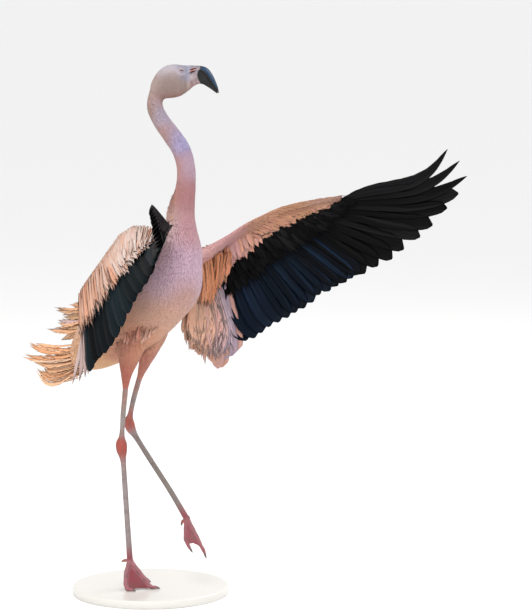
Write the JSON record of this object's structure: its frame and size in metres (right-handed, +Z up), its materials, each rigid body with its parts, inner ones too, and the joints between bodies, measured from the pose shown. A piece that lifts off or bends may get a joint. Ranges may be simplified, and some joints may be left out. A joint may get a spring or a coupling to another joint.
{
  "type": "chilean flamingo model",
  "caption": "Life-size still model of a wading bird in mid-stride with both wings spread, standing on one leg on a plain round base.",
  "frame": {"origin": "middle of the underside of the round base", "axes": "+Z up; +X is the way the head and bill point and the left wing spreads; the trunk faces 45 degrees to the right of +X, towards -Y"},
  "size_m": [1.0092, 0.7307, 1.1562],
  "materials": {
    "stand": "white lacquer, satin",
    "body_feathers": "soft feathers, peach to pale pink",
    "neck_feathers": "short velvety feathers, pale lavender pink",
    "tail_feathers": "loose plumes, orange peach",
    "thigh_feathers": "short feathers, rose",
    "flight_feathers": "smooth vanes, black with a blue sheen",
    "bill": "satin horn, black with a pale base",
    "eye": "clear gloss",
    "leg_skin": "fine scutes, grey",
    "joint_skin": "scaled skin, coral red"
  },
  "bodies": {
    "root": {"stand_base": "stand", "torso": "body_feathers", "neck_lower": "neck_feathers", "neck_upper": "neck_feathers", "head": "neck_feathers", "bill_upper": "bill", "bill_lower": "bill", "eye_left": "eye", "eye_right": "eye", "tail": "tail_feathers", "thigh_left": "thigh_feathers", "thigh_right": "thigh_feathers", "shank_left": "leg_skin", "shank_right": "leg_skin", "ankle_left": "joint_skin", "ankle_right": "joint_skin", "tarsus_left": "leg_skin", "tarsus_right": "leg_skin", "foot_left": "joint_skin", "foot_right": "joint_skin", "wing_left": "flight_feathers", "wing_right": "flight_feathers"}
  },
  "joints": []
}
